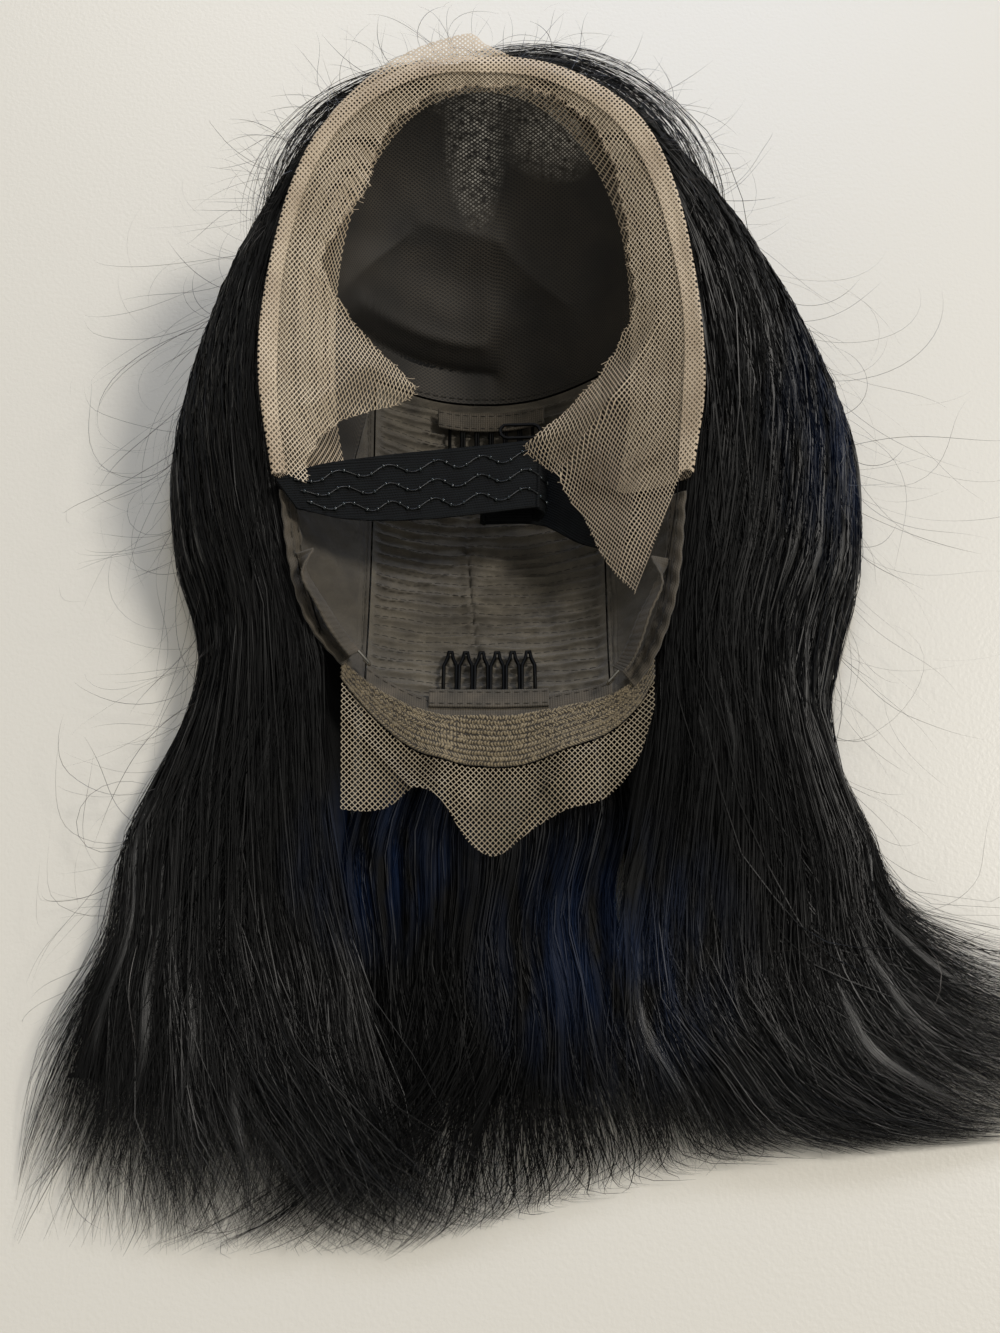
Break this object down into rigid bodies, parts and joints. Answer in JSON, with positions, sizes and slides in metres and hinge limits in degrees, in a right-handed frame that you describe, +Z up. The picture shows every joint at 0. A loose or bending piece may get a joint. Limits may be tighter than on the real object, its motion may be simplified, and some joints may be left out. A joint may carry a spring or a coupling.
{
  "type": "lace front wig",
  "caption": "Open wig cap lying crown down, with bare lace edge, combs, elastic band and long straight black hair spread on a table.",
  "frame": {"origin": "on the table, under the middle of the bounding box", "axes": "+Z up, +Y from the hair's tips towards the forehead edge, +X towards the side where the tips flick out"},
  "size_m": [0.35, 0.4144, 0.1161],
  "materials": {
    "hair": "long straight jet black strands with a soft sheen",
    "net": "dark hand-knotted net",
    "lace": "bare beige lace netting and knitted trim",
    "cap": "grey-brown stretch cloth with sewn wefts",
    "tape": "narrow woven tape",
    "band": "black woven elastic with silicone lines",
    "wire": "black coated wire"
  },
  "bodies": {
    "root": {"front_net": "net", "front_lace": "lace", "back_panel": "cap", "side_panel_left": "cap", "side_panel_right": "cap", "edge_tape_left": "tape", "edge_tape_right": "tape", "nape_tape": "tape", "nape_trim": "lace", "nape_lace": "lace", "crown_comb": "wire", "nape_comb": "wire", "crown_comb_tape": "tape", "nape_comb_tape": "tape", "elastic_band": "band", "band_hook": "wire", "strap_left": "tape", "strap_right": "tape", "strap_hook_left": "wire", "strap_hook_right": "wire", "hair_left": "hair", "hair_right": "hair", "hair_nape": "hair"}
  },
  "joints": []
}
